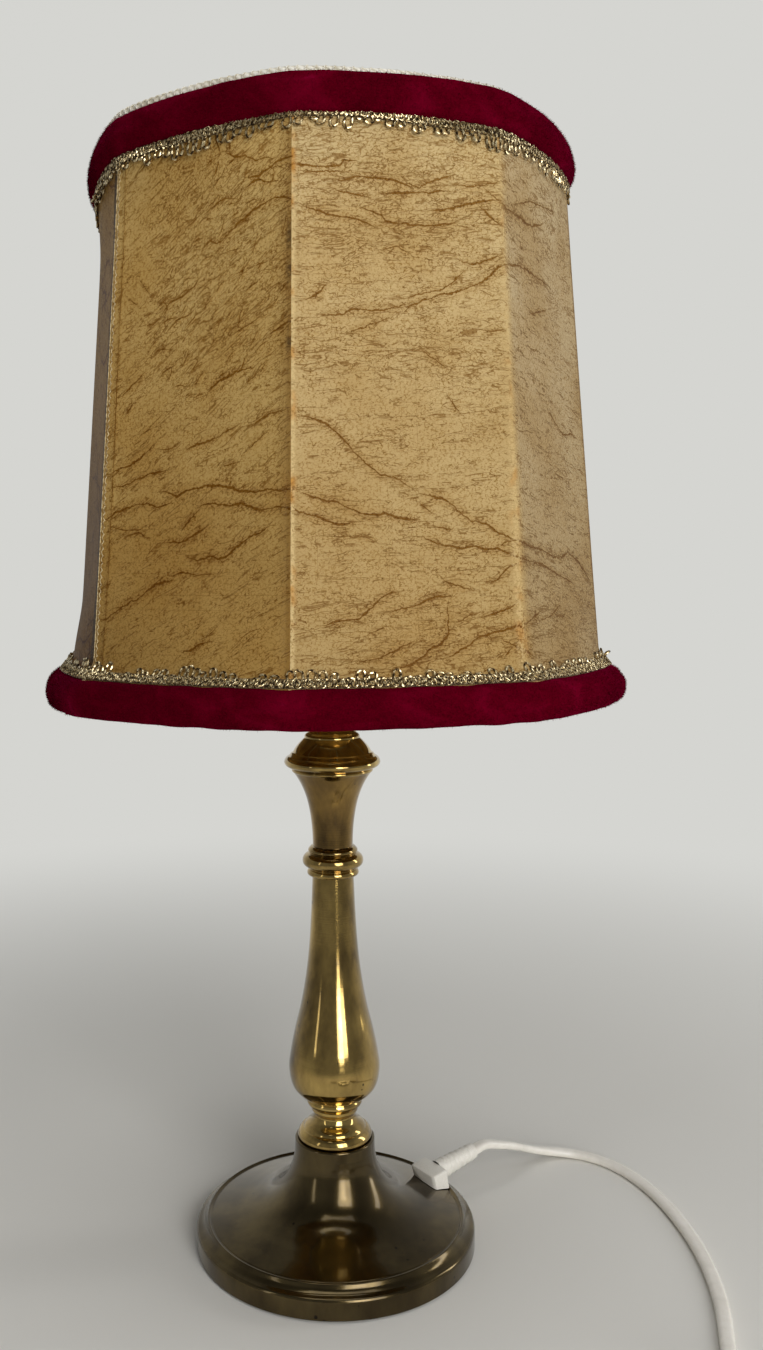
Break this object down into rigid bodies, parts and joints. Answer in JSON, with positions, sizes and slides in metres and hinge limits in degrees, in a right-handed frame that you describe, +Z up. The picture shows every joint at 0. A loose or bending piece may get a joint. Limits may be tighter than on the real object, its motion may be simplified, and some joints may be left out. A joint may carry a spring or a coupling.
{
  "type": "table lamp",
  "caption": "Turned brass table lamp with a panelled parchment shade trimmed in velvet and metallic braid, and a white flex with an in-line switch and plug.",
  "frame": {"origin": "centre of the underside of the felt pad, on the lamp's axis", "axes": "+Z up along the column; -Y towards the viewer of the picture; the flex leaves the base towards +X and +Y"},
  "size_m": [0.2822, 0.3506, 0.4603],
  "materials": {
    "felt": "green felt, dense and matt",
    "fibreboard": "plain pressed fibreboard",
    "cast_iron": "rough casting",
    "antique_brass": "spun brass, dark brown-green patina",
    "brass": "turned and polished brass, aged, with small dark specks",
    "steel": "zinc plated steel",
    "white_insulator": "white thermoset moulding",
    "opal_glass": "opal, satin",
    "nickel": "nickel plated",
    "parchment": "ochre to greyish tan parchment, creased and mottled, stitched at the ribs",
    "cotton_tape": "white ribbed cotton tape",
    "velvet": "deep burgundy velvet with a magenta sheen",
    "metal_gimp": "silver-gold metallic gimp braid with picot loops",
    "white_plastic": "smooth white moulding",
    "white_flex": "smooth white flat flex"
  },
  "bodies": {
    "lamp": {"felt_pad": "felt", "bottom_disc": "fibreboard", "weight_ring": "cast_iron", "base_shell": "antique_brass", "base_washer": "steel", "base_nut": "steel", "threaded_tube": "steel", "column_foot": "brass", "column_vase": "brass", "column_collar": "brass", "column_flare": "brass", "column_brim": "brass", "column_dome": "brass", "holder_cap": "brass", "holder_skirt": "brass", "screw_shell": "brass", "shade_shoulder": "brass", "holder_insulator": "white_insulator", "centre_contact": "nickel", "plug_pin_left": "nickel", "plug_pin_right": "nickel", "cord_bushing": "white_plastic", "cord_tie": "white_plastic", "switch_tray": "white_plastic", "switch_cover": "white_plastic", "plug_body": "white_plastic", "cord_inside": "white_flex", "cord_run": "white_flex", "cord_link": "white_flex", "cord_coil": "white_flex", "cord_tail": "white_flex"},
    "shade": {"shade_carrier": "steel", "shade_ring_bottom": "steel", "shade_ring_top": "steel", "shade_rib_1": "steel", "shade_rib_2": "steel", "shade_rib_3": "steel", "shade_rib_4": "steel", "shade_rib_5": "steel", "shade_rib_6": "steel", "shade_rib_7": "steel", "shade_rib_8": "steel", "cover_panel_1": "parchment", "cover_panel_2": "parchment", "cover_panel_3": "parchment", "cover_panel_4": "parchment", "cover_panel_5": "parchment", "cover_panel_6": "parchment", "cover_panel_7": "parchment", "cover_panel_8": "parchment", "ring_tape": "cotton_tape", "velvet_band_top": "velvet", "velvet_band_bottom": "velvet", "braid_top": "metal_gimp", "braid_bottom": "metal_gimp"},
    "bulb": {"bulb_cap": "nickel", "bulb_glass": "opal_glass"},
    "ring_nut": {"shade_ring_nut": "brass"},
    "rocker": {"switch_rocker": "white_plastic"}
  },
  "joints": [
    {"name": "shade_turn", "type": "hinge", "parent": "lamp", "child": "shade", "pos_m": [0, 0, 0.268], "axis": [0, 0, 1], "continuous": true},
    {"name": "bulb_lift", "type": "slide", "parent": "lamp", "child": "bulb", "axis": [0, 0, 1], "range_m": [0, 0.026]},
    {"name": "ring_nut_lift", "type": "slide", "parent": "lamp", "child": "ring_nut", "axis": [0, 0, 1], "range_m": [0, 0.01]},
    {"name": "rocker_tilt", "type": "hinge", "parent": "lamp", "child": "rocker", "pos_m": [0.1455, -0.142, 0.012], "axis": [1, 0, 0], "range_deg": [0, 16]}
  ]
}
